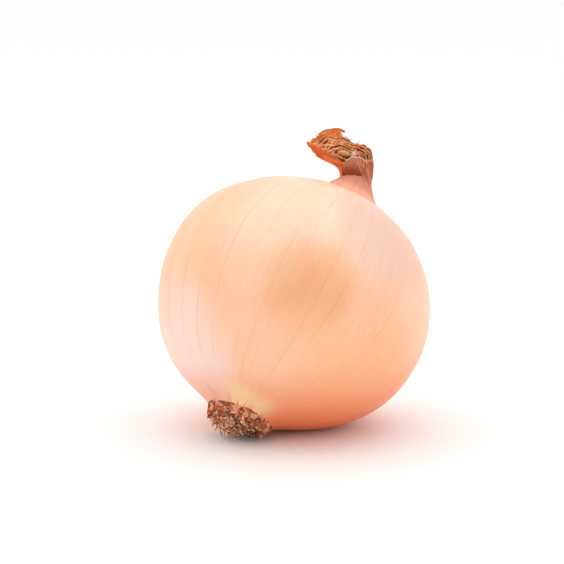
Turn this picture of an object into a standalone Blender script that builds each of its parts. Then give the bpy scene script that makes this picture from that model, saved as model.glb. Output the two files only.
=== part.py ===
"""A yellow onion lying on its side: the bulb in its dry skin, the torn leaf bases of its neck, and its root tuft.

Metres, +Z up. The origin is the middle of the small flat spot that the bulb rests on, and the neck leans
towards +X. Each piece is shaped upright round the bulb's own axis, with the neck up and the bulb's middle at
zero, and an empty then lays all three down.
"""

import math
import random

import bmesh
import bpy
from mathutils import Matrix, Vector
from mathutils.geometry import interpolate_bezier

MM = 0.001

# The bulb: an ellipse turned round its axis, drawn out to a neck above and to the root plate below
EQUATOR_RADIUS = 40 * MM
POLE_HEIGHT = 36 * MM
SHOULDER_RADIUS = 13 * MM
NECK_RADIUS = 4.6 * MM
NECK_HEIGHT = 43.0 * MM
CONE_RADIUS = 25 * MM
PLATE_RADIUS = 9.6 * MM
PLATE_DEPTH = 37.2 * MM

# How it grew crooked: the side that the leaves fall to hangs lower, the root plate and the shoulders sit off the
# axis, and the neck bends back over it with a tilted top and a foot that flares under the fold
ROOT_SKEW = 0.15
PLATE_SHIFT = 1.2 * MM
SHOULDER_SHIFT = 1.9 * MM
NECK_BEND = 2.2 * MM
NECK_TILT = 0.33
NECK_FLARE = 1.9 * MM
FLARE_HEIGHT = 38.4 * MM

# How it lies: the axis leans this far from upright, and the skin is pressed flat this deep
LEAN = math.radians(39)
FLAT_DEPTH = 0.8 * MM

# Relief of the skin
RIBS = 19
RIB_RELIEF = 0.13 * MM
LOBE_RELIEF = 0.25 * MM
PLEATS = 15
PLEAT_RELIEF = 0.22 * MM

# The neck's leaf bases fold over towards this side, seen from above the neck. Each runs along curves with two
# handles. The handles and the torn rim lie on three hoops, and the bundle's core on a line through three points.
# They are in millimetres: towards the fold, towards the front, and up from the bulb's middle. A hoop's points
# are spread evenly round the neck, from the side of the fold round by the front.
BEND_AZIMUTH = math.radians(135)
BEND = Matrix.Rotation(BEND_AZIMUTH, 3, "Z")
ANKLE_HOOP = [
    (5.9, 0.0, 46.9),
    (3.0, 3.5, 45.6),
    (-1.4, 3.8, 44.8),
    (-4.0, 0.2, 45.8),
    (-1.8, -3.8, 46.4),
    (3.2, -3.9, 46.8),
]
ANKLE_CORE = (0.6, 0.0, 45.6)
KNEE_HOOP = [
    (11.6, 0.4, 41.4),
    (9.4, 3.0, 42.4),
    (-0.2, 3.8, 45.9),
    (-3.0, 0.6, 48.6),
    (-0.4, -2.8, 51.2),
    (8.4, -3.4, 48.8),
]
KNEE_CORE = (4.0, 0.4, 47.0)
MOUTH_HOOP = [
    (18.2, 0.3, 46.3),
    (16.6, 1.7, 45.9),
    (13.6, 2.3, 46.2),
    (10.3, 2.6, 45.5),
    (6.8, 3.0, 45.0),
    (3.2, 3.9, 47.2),
    (-0.2, 3.0, 48.7),
    (-1.0, 0.4, 51.2),
    (1.6, -1.3, 54.0),
    (6.4, -2.2, 53.8),
    (12.0, -2.6, 53.8),
    (16.2, -2.0, 51.4),
]
MOUTH_CORE = (5.6, 0.2, 49.0)
TEAR_DEPTH = 0.5 * MM
WAVES = 7
WAVE_SHARE = 0.05
WISP_LENGTH = 4.4 * MM
WISP_AZIMUTH = math.radians(308)
WISP_HALF_WIDTH = math.radians(11)
WISP_HEADING = (-0.85, 0.0, 0.5)

# The root tuft
ROOTLETS = 90
ROOTLET_RADIUS = 0.55 * MM
ROOTLET_LENGTH = 6.0 * MM
ROOTLET_POINTS = 5
TUFT_RADIUS = 7.2 * MM
COLLAR_TEAR = 0.7 * MM
CLEARANCE = 0.3 * MM

GAP = 0.3 * MM
BULB_STEPS = 60
NECK_STEPS = 48
COLLAR_STEPS = 40
SEED = 11


def clear_scene():
    for obj in list(bpy.data.objects):
        bpy.data.objects.remove(obj)


def collection(name, parent):
    made = bpy.data.collections.new(name)
    parent.children.link(made)
    return made


def material(name, colour, roughness):
    made = bpy.data.materials.new(name)
    made.use_nodes = True
    shader = made.node_tree.nodes["Principled BSDF"]
    shader.inputs["Base Color"].default_value = (*colour, 1)
    shader.inputs["Roughness"].default_value = roughness
    shader.inputs["Metallic"].default_value = 0
    return made


def axis_empty(group):
    """The bulb's middle and lean. The flat spot's centre lies on the line from the middle to the lowest point."""
    across, down = math.sin(LEAN), math.cos(LEAN)
    reach = math.hypot(EQUATOR_RADIUS * across, POLE_HEIGHT * down)
    lowest_radius = EQUATOR_RADIUS**2 * across / reach
    lowest_height = -(POLE_HEIGHT**2) * down / reach
    towards_x = lowest_radius * math.cos(LEAN) + lowest_height * math.sin(LEAN)
    share = (reach - FLAT_DEPTH) / reach
    made = bpy.data.objects.new("bulb_axis", None)
    made.rotation_euler = (0, LEAN, 0)
    made.location = (-towards_x * share, 0, reach - FLAT_DEPTH)
    group.objects.link(made)
    bpy.context.view_layer.update()
    return made


def turned(name, profile, steps):
    """A profile of (radius, height) points, top to bottom, turned round Z by a Screw modifier."""
    mesh = bpy.data.meshes.new(name)
    points = [(radius, 0, height) for radius, height in profile]
    mesh.from_pydata(points, [(i, i + 1) for i in range(len(points) - 1)], [])
    guide = bpy.data.objects.new(name + "_profile", mesh)
    bpy.context.scene.collection.objects.link(guide)
    screw = guide.modifiers.new("turn", "SCREW")
    screw.steps = screw.render_steps = steps
    screw.use_merge_vertices = True
    screw.merge_threshold = 0.000001
    graph = bpy.context.evaluated_depsgraph_get()
    made = bpy.data.meshes.new_from_object(guide.evaluated_get(graph))
    made.name = name
    bpy.data.objects.remove(guide)
    return made


def place(name, mesh, finish, parent, group):
    made = bpy.data.objects.new(name, mesh)
    made.parent = parent
    mesh.materials.clear()
    mesh.materials.append(finish)
    mesh.shade_smooth()
    group.objects.link(made)
    return made


def fade(value, start, end):
    """A smooth step from 0 at start to 1 at end."""
    share = min(max((value - start) / (end - start), 0), 1)
    return share * share * (3 - 2 * share)


def crooked(point):
    """A point of the straight, even onion, moved to where it is on this lopsided one."""
    out = BEND @ Vector((1, 0, 0))
    along = point.dot(out)
    one_sided = (along + math.hypot(along, 3 * MM)) / 2
    rooty = fade(-point.z, 10 * MM, PLATE_DEPTH)
    moved = point - out * PLATE_SHIFT * fade(-point.z, 24 * MM, PLATE_DEPTH)
    moved -= out * SHOULDER_SHIFT * fade(point.z, 12 * MM, 38 * MM)
    necky = fade(point.z, 36 * MM, NECK_HEIGHT)
    flared = fade(point.z, 36 * MM, FLARE_HEIGHT) - fade(point.z, FLARE_HEIGHT, NECK_HEIGHT)
    moved += out * (NECK_BEND * necky + NECK_FLARE * flared * min(one_sided / NECK_RADIUS, 1))
    moved.z -= ROOT_SKEW * one_sided * rooty + NECK_TILT * along * necky
    return moved


def ellipse_height(radius):
    return POLE_HEIGHT * math.sqrt(1 - (radius / EQUATOR_RADIUS) ** 2)


def ellipse_slope(radius):
    """How fast the ellipse falls as the radius grows."""
    return POLE_HEIGHT**2 * radius / (EQUATOR_RADIUS**2 * ellipse_height(radius))


def curve_points(start, start_handle, end_handle, end, count):
    """(radius, height) points along a Bezier stretch, both ends included."""
    ends = [Vector((radius, height, 0)) for radius, height in (start, start_handle, end_handle, end)]
    return [(point.x, point.y) for point in interpolate_bezier(*ends, count)]


def bulb_profile():
    shoulder = (SHOULDER_RADIUS, ellipse_height(SHOULDER_RADIUS))
    shoulder_run = 4.5 * MM
    shoulder_handle = (
        SHOULDER_RADIUS - shoulder_run,
        shoulder[1] + shoulder_run * ellipse_slope(SHOULDER_RADIUS),
    )
    neck_handle = (NECK_RADIUS + 0.6 * MM, NECK_HEIGHT - 4.5 * MM)
    neck = curve_points((NECK_RADIUS, NECK_HEIGHT), neck_handle, shoulder_handle, shoulder, 9)

    cone = (CONE_RADIUS, -ellipse_height(CONE_RADIUS))
    cone_run = 7 * MM
    cone_handle = (CONE_RADIUS - cone_run, cone[1] - cone_run * ellipse_slope(CONE_RADIUS))
    plate_handle = (PLATE_RADIUS + 3 * MM, -PLATE_DEPTH + 3 * MM)
    root_end = curve_points(cone, cone_handle, plate_handle, (PLATE_RADIUS, -PLATE_DEPTH), 7)

    top = math.acos(SHOULDER_RADIUS / EQUATOR_RADIUS)
    bottom = -math.acos(CONE_RADIUS / EQUATOR_RADIUS)
    rings = 22
    angles = [top + (bottom - top) * i / rings for i in range(1, rings)]
    belly = [(EQUATOR_RADIUS * math.cos(a), POLE_HEIGHT * math.sin(a)) for a in angles]
    return [(0, NECK_HEIGHT), *neck, *belly, *root_end, (0, -PLATE_DEPTH)]


def skin_relief(azimuth, height):
    """How far the skin stands out: broad lobes, shallow ribs over the veins, and pleats gathered into the neck."""
    latitude = max(1 - (height / PLATE_DEPTH) ** 2, 0)
    lobes = LOBE_RELIEF * latitude * (math.cos(2 * azimuth + 0.7) + 0.6 * math.cos(3 * azimuth + 2.1))
    ribs = RIB_RELIEF * math.sqrt(latitude) * math.cos(RIBS * azimuth + 0.8 * math.sin(3 * azimuth))
    gathered = fade(height, POLE_HEIGHT * 0.93, NECK_HEIGHT * 0.95)
    pleats = PLEAT_RELIEF * gathered * math.cos(PLEATS * azimuth + 0.9 * math.sin(2 * azimuth))
    return lobes + ribs + pleats


def bulb(finish, axis, group):
    """The onion's body: one solid, with a small flat spot where it lies on the surface."""
    mesh = turned("bulb", bulb_profile(), BULB_STEPS)
    for vertex in mesh.vertices:
        radius = math.hypot(vertex.co.x, vertex.co.y)
        if radius > NECK_RADIUS / 2:
            azimuth = math.atan2(vertex.co.y, vertex.co.x)
            swell = 1 + skin_relief(azimuth, vertex.co.z) / radius
            vertex.co.x *= swell
            vertex.co.y *= swell
        vertex.co = crooked(vertex.co)
    made = place("bulb", mesh, finish, axis, group)
    to_local = axis.matrix_world.inverted()
    shape = bmesh.new()
    shape.from_mesh(mesh)
    everything = [*shape.verts, *shape.edges, *shape.faces]
    up = to_local.to_3x3() @ Vector((0, 0, 1))
    bmesh.ops.bisect_plane(
        shape, geom=everything, plane_co=to_local.translation, plane_no=up, clear_inner=True
    )
    rim = [edge for edge in shape.edges if edge.is_boundary]
    bmesh.ops.contextual_create(shape, geom=rim)
    bmesh.ops.recalc_face_normals(shape, faces=shape.faces)
    shape.to_mesh(mesh)
    shape.free()
    return made


def cubic(start, start_handle, end_handle, end, share):
    """A point of a curve with two handles."""
    left = 1 - share
    near = start * left**3 + start_handle * (3 * left**2 * share)
    return near + end_handle * (3 * left * share**2) + end * share**3


def on_hoop(hoop, core, share, around):
    """A point of a hoop that runs smoothly through its points, drawn in towards the core by its share."""
    place_round = around / (2 * math.pi) * len(hoop)
    first = math.floor(place_round)
    before, here, there, after = (Vector(hoop[(first + step) % len(hoop)]) for step in (-1, 0, 1, 2))
    handle, next_handle = here + (there - before) / 6, there - (after - here) / 6
    outer = cubic(here, handle, next_handle, there, place_round - first)
    return BEND @ Vector(core).lerp(outer, share) * MM


def neck_point(share, around, rise, tear):
    """A point of the neck's bundle. share is 0 in its core and 1 on its outside; rise is 0 below, 1 at the mouth."""
    share *= 1 + WAVE_SHARE * fade(rise, 0.2, 0.9) * math.sin(WAVES * around + 9 * share)
    out = Vector((math.cos(around), math.sin(around), 0)) * NECK_RADIUS * share
    foot = crooked(BEND @ (out + Vector((0, 0, NECK_HEIGHT)))) + Vector((0, 0, GAP))
    ankle = on_hoop(ANKLE_HOOP, ANKLE_CORE, share, around)
    knee = on_hoop(KNEE_HOOP, KNEE_CORE, share, around)
    mouth = on_hoop(MOUTH_HOOP, MOUTH_CORE, share, around)
    point = cubic(foot, ankle, knee, mouth, rise)
    point.z += tear * fade(rise, 0.6, 1)
    return point


# Rings of the bundle, as (share, rise): a core and two leaf bases round it, with deep gaps between them
NECK_RINGS = [
    (0, 0.92),
    (0.16, 0.95),
    (0.28, 0.9),
    (0.33, 0.72),
    (0.38, 0.55),
    (0.5, 0.55),
    (0.51, 0.8),
    (0.52, 0.98),
    (0.66, 1.0),
    (0.68, 0.8),
    (0.7, 0.5),
    (0.82, 0.5),
    (0.84, 0.78),
    (0.85, 0.98),
    (0.99, 1.0),
    (1.0, 0.84),
    (1.0, 0.66),
    (1.0, 0.48),
    (1.0, 0.3),
    (1.0, 0.14),
    (1.0, 0),
    (0, 0),
]


def wisp(share, around):
    """How much of the long torn strip stands on the outer leaf base here, from 0 to 1."""
    turn = math.remainder(around - WISP_AZIMUTH, 2 * math.pi)
    return fade(share, 0.8, 0.85) * max(1 - abs(turn) / WISP_HALF_WIDTH, 0)


def neck_leaves(finish, axis, group):
    """The dried leaf bases that come out of the neck, folded over to one side and torn off."""
    draw = random.Random(SEED)
    phases = [draw.uniform(0, 2 * math.pi) for _ in range(4)]
    nicks = [draw.uniform(-0.5, 0.5) for _ in range(NECK_STEPS)]
    mesh = turned("neck_leaves", NECK_RINGS, NECK_STEPS)
    for vertex in mesh.vertices:
        share = math.hypot(vertex.co.x, vertex.co.y)
        around = math.atan2(vertex.co.y, vertex.co.x) % (2 * math.pi)
        rise = vertex.co.z
        step = round(around / (2 * math.pi) * NECK_STEPS)
        long_tears = sum(math.sin((3 + 2 * i) * around + p + 8 * share) for i, p in enumerate(phases)) / 2.5
        tear = (long_tears + nicks[(step + round(share * 17)) % NECK_STEPS]) * TEAR_DEPTH * min(share * 3, 1)
        point = neck_point(share, around, rise, tear)
        strip = wisp(share, around) * fade(rise, 0.8, 1)
        vertex.co = point + BEND @ Vector(WISP_HEADING) * WISP_LENGTH * strip
    return place("neck_leaves", mesh, finish, axis, group)


# Rings of the root plate, as (radius, depth under the bulb) in millimetres: two torn collars round a dome
PLATE_RINGS = [
    (0, 0),
    (8.9, 0),
    (9.7, 0.5),
    (9.6, 1.5),
    (9.0, 1.9),
    (8.7, 1.0),
    (8.3, 1.0),
    (8.1, 2.1),
    (7.4, 2.4),
    (6.9, 1.5),
    (5.6, 2.2),
    (3.4, 2.9),
    (0, 3.1),
]


def kept_above(axis, point, clearance):
    """A point of the laid-down onion, lifted where it would come too near the surface that the onion lies on."""
    world = axis.matrix_world @ point
    world.z = max(world.z, clearance)
    return axis.matrix_world.inverted() @ world


def root_plate(axis):
    """The basal plate: the torn feet of the skins in ragged rings, round the dome that the rootlets grow from."""
    draw = random.Random(SEED + 1)
    tears = [draw.uniform(-1, 1) * COLLAR_TEAR for _ in range(COLLAR_STEPS)]
    profile = [(radius * MM, -depth * MM) for radius, depth in PLATE_RINGS]
    mesh = turned("root_plate", profile, COLLAR_STEPS)
    for vertex in mesh.vertices:
        radius = math.hypot(vertex.co.x, vertex.co.y)
        around = math.atan2(vertex.co.y, vertex.co.x) % (2 * math.pi)
        step = round(around / (2 * math.pi) * COLLAR_STEPS)
        tear = tears[(step + round(radius / MM * 5)) % COLLAR_STEPS]
        ragged = fade(-vertex.co.z, 0.4 * MM, 1.4 * MM) * fade(radius, 6 * MM, 7.2 * MM)
        vertex.co.z -= tear * ragged + PLATE_DEPTH
        vertex.co = crooked(vertex.co)
        vertex.co.z -= GAP
        vertex.co = kept_above(axis, vertex.co, CLEARANCE)
    return mesh


def rootlet_path(draw, axis, number):
    """A short curling root from inside the dome outwards, kept above the surface that the onion lies on."""
    golden_angle = math.pi * (3 - math.sqrt(5))
    share = math.sqrt((number + 0.5) / ROOTLETS)
    around = number * golden_angle + draw.uniform(-0.2, 0.2)
    start = Vector((math.cos(around), math.sin(around), 0)) * TUFT_RADIUS * share
    start.z = -PLATE_DEPTH - 1.0 * MM
    heading = Vector((math.cos(around) * share * 0.5, math.sin(around) * share * 0.5, -1)).normalized()
    curl = Vector([draw.uniform(-1, 1) for _ in range(3)]) * 0.5
    step = ROOTLET_LENGTH * draw.uniform(0.8, 1.1) * (1 - 0.35 * share) / (ROOTLET_POINTS - 1)
    path = []
    point = crooked(start)
    for _ in range(ROOTLET_POINTS):
        path.append(kept_above(axis, point, ROOTLET_RADIUS + CLEARANCE))
        point = point + heading * step
        heading = (heading + curl * 0.6).normalized()
        curl = (curl + Vector([draw.uniform(-1, 1) for _ in range(3)]) * 0.5).normalized() * 0.7
    return path


def tube(name, path, radius, group):
    """A thin round stalk along a path, as a closed mesh that tapers to its tip."""
    curve = bpy.data.curves.new(name, "CURVE")
    curve.dimensions = "3D"
    curve.bevel_depth = radius
    curve.bevel_resolution = 0
    curve.use_fill_caps = True
    spline = curve.splines.new("POLY")
    spline.points.add(len(path) - 1)
    for number, (point, place_at) in enumerate(zip(spline.points, path)):
        point.co = (*place_at, 1)
        point.radius = 1.15 - 0.45 * number / (len(path) - 1)
    guide = bpy.data.objects.new(name, curve)
    bpy.context.scene.collection.objects.link(guide)
    graph = bpy.context.evaluated_depsgraph_get()
    mesh = bpy.data.meshes.new_from_object(guide.evaluated_get(graph))
    bpy.data.objects.remove(guide)
    shape = bmesh.new()
    shape.from_mesh(mesh)
    bmesh.ops.remove_doubles(shape, verts=shape.verts, dist=0.000001)
    bmesh.ops.recalc_face_normals(shape, faces=shape.faces)
    shape.to_mesh(mesh)
    shape.free()
    made = bpy.data.objects.new(name, mesh)
    group.objects.link(made)
    return made


def islands(shape):
    """The faces of each separate body of a mesh, the largest body first."""
    left = set(shape.faces)
    found = []
    while left:
        body = []
        front = [left.pop()]
        while front:
            face = front.pop()
            body.append(face)
            near = {other for edge in face.edges for other in edge.link_faces} & left
            left -= near
            front.extend(near)
        found.append(body)
    return sorted(found, key=len, reverse=True)


def drop_scraps(mesh):
    """Keeps the tuft itself and drops loose bits, and hollows that the joining has sealed."""
    shape = bmesh.new()
    shape.from_mesh(mesh)
    for body in islands(shape)[1:]:
        bmesh.ops.delete(shape, geom=body, context="FACES")
    shape.to_mesh(mesh)
    shape.free()


def root_tuft(finish, axis, group, cutters):
    """The basal plate with its mat of short dried rootlets, joined into one body."""
    draw = random.Random(SEED + 3)
    for number in range(ROOTLETS):
        path = rootlet_path(draw, axis, number)
        tube(f"rootlet_{number:02d}", path, ROOTLET_RADIUS, cutters)
    core = bpy.data.objects.new("tuft_core", root_plate(axis))
    group.objects.link(core)
    union = core.modifiers.new("join_rootlets", "BOOLEAN")
    union.operation = "UNION"
    union.operand_type = "COLLECTION"
    union.collection = cutters
    union.solver = "MANIFOLD"
    graph = bpy.context.evaluated_depsgraph_get()
    mesh = bpy.data.meshes.new_from_object(core.evaluated_get(graph))
    bpy.data.objects.remove(core)
    drop_scraps(mesh)
    for obj in list(cutters.objects):
        bpy.data.objects.remove(obj)
    return place("root_tuft", mesh, finish, axis, group)


def main():
    clear_scene()
    scene_root = bpy.context.scene.collection
    onion = collection("onion", scene_root)
    cutters = collection("rootlets", scene_root)
    axis = axis_empty(onion)
    bulb(material("golden_skin", (0.93, 0.50, 0.26), 0.35), axis, onion)
    neck_leaves(material("dried_leaf", (0.50, 0.13, 0.05), 0.6), axis, onion)
    root_tuft(material("dried_root", (0.42, 0.24, 0.15), 0.9), axis, onion, cutters)


main()
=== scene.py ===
# %% [markdown]
# # A yellow onion on a pale table
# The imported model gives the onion's exact size and place: a bulb, the torn leaf bases of its neck, and its
# root tuft. This lesson dresses the three in finer shapes and in procedural finishes, and then lights them.

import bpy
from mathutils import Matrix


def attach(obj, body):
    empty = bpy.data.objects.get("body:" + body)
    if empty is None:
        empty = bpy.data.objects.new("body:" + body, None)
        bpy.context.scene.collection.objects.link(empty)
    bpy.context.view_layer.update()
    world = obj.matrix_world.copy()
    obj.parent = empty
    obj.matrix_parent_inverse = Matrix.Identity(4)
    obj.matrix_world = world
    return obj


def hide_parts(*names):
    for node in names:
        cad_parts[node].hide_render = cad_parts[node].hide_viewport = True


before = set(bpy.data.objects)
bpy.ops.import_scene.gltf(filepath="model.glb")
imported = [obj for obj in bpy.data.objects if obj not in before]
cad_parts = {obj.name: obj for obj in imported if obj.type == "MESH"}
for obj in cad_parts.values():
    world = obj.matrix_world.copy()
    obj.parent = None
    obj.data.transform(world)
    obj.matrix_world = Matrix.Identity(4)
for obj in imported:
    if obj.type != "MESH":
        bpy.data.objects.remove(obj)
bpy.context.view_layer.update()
print("packed nodes:", sorted(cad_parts))

# %% Import what the lesson uses
import math
import random

import bpy
from mathutils import Matrix, Vector, noise
from mathutils.geometry import interpolate_bezier

# %% [markdown]
# ## The onion's own axis
# A bulb is easiest to shape upright, round its own axis, with the roots below and the neck above. It is
# then laid down once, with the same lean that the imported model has, so every piece lands where its node is.

# %% Name the sizes
MM = 0.001
EQUATOR_RADIUS = 40 * MM
POLE_HEIGHT = 36 * MM
SHOULDER_RADIUS = 13 * MM
NECK_RADIUS = 4.6 * MM
NECK_HEIGHT = 43.0 * MM
CONE_RADIUS = 25 * MM
PLATE_RADIUS = 9.6 * MM
PLATE_DEPTH = 37.2 * MM
LEAN = math.radians(39)
FLAT_DEPTH = 0.8 * MM
ROUND = 2 * math.pi


# %% Work out how it lies
def lying_down():
    """The move that lays the upright onion on its flat spot."""
    across, down = math.sin(LEAN), math.cos(LEAN)
    reach = math.hypot(EQUATOR_RADIUS * across, POLE_HEIGHT * down)
    towards_x = (EQUATOR_RADIUS**2 - POLE_HEIGHT**2) * across * down / reach
    share = (reach - FLAT_DEPTH) / reach
    middle = Vector((-towards_x * share, 0, reach - FLAT_DEPTH))
    return Matrix.Translation(middle) @ Matrix.Rotation(LEAN, 4, "Y")


laid_down = lying_down()
middle = laid_down.translation
print("the bulb's middle is", [round(v / MM, 2) for v in middle], "mm from the flat spot")

# %% [markdown]
# ## A lopsided plant
# No onion is even. This one hangs lower on the side that its leaves fall to, its root plate and shoulders
# sit off the axis, and its neck bends back with a tilted top and a foot that flares under the fold. Each
# piece could be pushed about by hand, but then the pieces would part. One rule moves every upright point to
# where it grew, so all the pieces stay together.

# %% Write the rule for the lopsided shape
BEND_AZIMUTH = math.radians(135)
BEND = Matrix.Rotation(BEND_AZIMUTH, 3, "Z")
ROOT_SKEW = 0.15
PLATE_SHIFT = 1.2 * MM
SHOULDER_SHIFT = 1.9 * MM
NECK_BEND = 2.2 * MM
NECK_TILT = 0.33
NECK_FLARE = 1.9 * MM
NECK_FOOT = 36 * MM
FLARE_HEIGHT = 38.4 * MM
SKEW_START = 10 * MM
PLATE_SHIFT_START = 24 * MM
SHOULDER_RANGE = (12 * MM, 38 * MM)
SIDE_SOFTNESS = 3 * MM


def fade(value, start, end):
    """A smooth step from 0 at start to 1 at end."""
    share = min(max((value - start) / (end - start), 0), 1)
    return share * share * (3 - 2 * share)


def spoke(around):
    """A level arrow of length 1, out from the axis."""
    return Vector((math.cos(around), math.sin(around), 0))


def crooked(point):
    """Where a point of an even, upright onion lies on this lopsided one."""
    out = BEND @ Vector((1, 0, 0))
    along = point.dot(out)
    one_sided = (along + math.hypot(along, SIDE_SOFTNESS)) / 2
    rooty = fade(-point.z, SKEW_START, PLATE_DEPTH)
    necky = fade(point.z, NECK_FOOT, NECK_HEIGHT)
    moved = point - out * PLATE_SHIFT * fade(-point.z, PLATE_SHIFT_START, PLATE_DEPTH)
    moved -= out * SHOULDER_SHIFT * fade(point.z, *SHOULDER_RANGE)
    flared = fade(point.z, NECK_FOOT, FLARE_HEIGHT) - fade(point.z, FLARE_HEIGHT, NECK_HEIGHT)
    moved += out * (NECK_BEND * necky + NECK_FLARE * flared * min(one_sided / NECK_RADIUS, 1))
    moved.z -= ROOT_SKEW * one_sided * rooty + NECK_TILT * along * necky
    return moved


# %% [markdown]
# ## Hand tools
# These few helpers stand for what a hand does in the window: clear the selection, name what was added,
# apply modifiers, merge doubled points, join pieces, and lay the finished piece down. Operators act on all
# that is selected, so each helper first picks the one piece that it works on.

# %% Make the hand tools
MERGE_DISTANCE = 0.002 * MM


def clear_selection():
    if bpy.context.mode != "OBJECT":
        bpy.ops.object.mode_set(mode="OBJECT")
    bpy.ops.object.select_all(action="DESELECT")


def pick(piece):
    clear_selection()
    piece.select_set(True)
    bpy.context.view_layer.objects.active = piece


def added(name):
    """The object that an operator has just made, under its own name."""
    made = bpy.context.object
    made.name = made.data.name = name
    return made


def own_copy(piece):
    """A copy with its own mesh."""
    twin = piece.copy()
    twin.data = piece.data.copy()
    bpy.context.collection.objects.link(twin)
    return twin


def apply_modifiers(piece):
    pick(piece)
    for modifier in list(piece.modifiers):
        bpy.ops.object.modifier_apply(modifier=modifier.name)


def lay_down(piece):
    """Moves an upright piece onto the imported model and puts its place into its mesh."""
    piece.matrix_world = laid_down
    pick(piece)
    bpy.ops.object.transform_apply(location=True, rotation=True, scale=True)


def edit_whole(piece):
    """Opens a piece in edit mode, with all of it selected."""
    pick(piece)
    bpy.ops.object.mode_set(mode="EDIT")
    bpy.ops.mesh.select_all(action="SELECT")


def tidy_surface(piece):
    """Merges doubled points and turns every face outwards."""
    edit_whole(piece)
    bpy.ops.mesh.remove_doubles(threshold=MERGE_DISTANCE)
    bpy.ops.mesh.normals_make_consistent(inside=False)
    bpy.ops.object.mode_set(mode="OBJECT")


def join_pieces(pieces, name):
    clear_selection()
    for piece in pieces:
        piece.select_set(True)
    bpy.context.view_layer.objects.active = pieces[0]
    bpy.ops.object.join()
    return added(name)


def count(piece):
    triangles = sum(len(face.vertices) - 2 for face in piece.data.polygons)
    print(piece.name, "has", triangles, "triangles")


def finish_piece(piece, lowest=0):
    """Lays a piece down, lifts what would dip below the lowest height, and smooths its look."""
    lay_down(piece)
    for vertex in piece.data.vertices:
        vertex.co.z = max(vertex.co.z, lowest)
    bpy.ops.object.shade_smooth()
    count(piece)


# %% [markdown]
# ## Tubes
# Leaf sheaths, torn rings and roots are all tubes. A tube starts as a circle that is extruded ring by ring,
# and a rule then moves each of its points. Before that, a UV map keeps how far round and how high each
# point was, so that a pattern can follow the fibres however the tube is bent.

# %% Make a tube that remembers how it was unrolled
def open_tube(name, points_round, rings, page=0):
    """A circle of points, extruded ring by ring to height 1."""
    clear_selection()
    bpy.ops.mesh.primitive_circle_add(vertices=points_round, radius=1)
    tube = added(name)
    edit_whole(tube)
    for _ in range(rings):
        bpy.ops.mesh.extrude_region_move(TRANSFORM_OT_translate={"value": (0, 0, 1 / rings)})
    bpy.ops.object.mode_set(mode="OBJECT")
    unroll(tube, page)
    return tube


def turn_of(point):
    """How far round a point is, from 0 to 1."""
    return math.atan2(point.y, point.x) / ROUND % 1


def fresh_map(piece):
    """An empty UV map in place of those that the piece has."""
    while piece.data.uv_layers:
        piece.data.uv_layers.remove(piece.data.uv_layers[0])
    return piece.data.uv_layers.new(name="unrolled")


def flat_map(piece, page, rule):
    """Lays each point of a piece where the rule puts it on its page of the UV map."""
    layer = fresh_map(piece)
    for loop in piece.data.loops:
        along, up = rule(piece.data.vertices[loop.vertex_index].co)
        layer.data[loop.index].uv = (along + page, up)


def unroll(piece, page):
    """Keeps how far round and how high each point is in a UV map, before the piece is shaped.

    The page is added to how far round it is, so that no two pieces share a pattern.
    """
    layer = fresh_map(piece)
    for face in piece.data.polygons:
        points = [piece.data.vertices[i].co for i in face.vertices]
        turns = [turn_of(point) for point in points]
        for loop, turn, point in zip(face.loop_indices, turns, points):
            wraps = max(turns) - turn > 0.5
            layer.data[loop].uv = (turn + wraps + page, point.z)


def shape_tube(tube, rule):
    """Moves each point of an unrolled tube to where the rule puts its angle and its height."""
    for vertex in tube.data.vertices:
        around = math.atan2(vertex.co.y, vertex.co.x) % ROUND
        vertex.co = rule(around, vertex.co.z)


# %% [markdown]
# ## The bulb's profile
# The skin's outline is an ellipse, drawn out to the neck above and to the root plate below. A sphere could
# be stretched instead, but its poles would stay blunt. A line of points, one extrusion after another, gives
# both ends their own curve, and spinning it round the axis gives the whole skin.

# %% Name the curves of the profile
SHOULDER_RUN = 4.5 * MM
NECK_RUN = 4.5 * MM
NECK_WIDENING = 0.6 * MM
CONE_RUN = 7 * MM
PLATE_RUN = 3 * MM
NECK_POINTS = 26
BELLY_RINGS = 54
CONE_POINTS = 40


# %% Draw the profile
def curve_points(start, start_handle, end_handle, end, number):
    ends = [Vector((radius, height, 0)) for radius, height in (start, start_handle, end_handle, end)]
    return [(point.x, point.y) for point in interpolate_bezier(*ends, number)]


def ellipse_height(radius):
    return POLE_HEIGHT * math.sqrt(1 - (radius / EQUATOR_RADIUS) ** 2)


def ellipse_slope(radius):
    return POLE_HEIGHT**2 * radius / (EQUATOR_RADIUS**2 * ellipse_height(radius))


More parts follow.
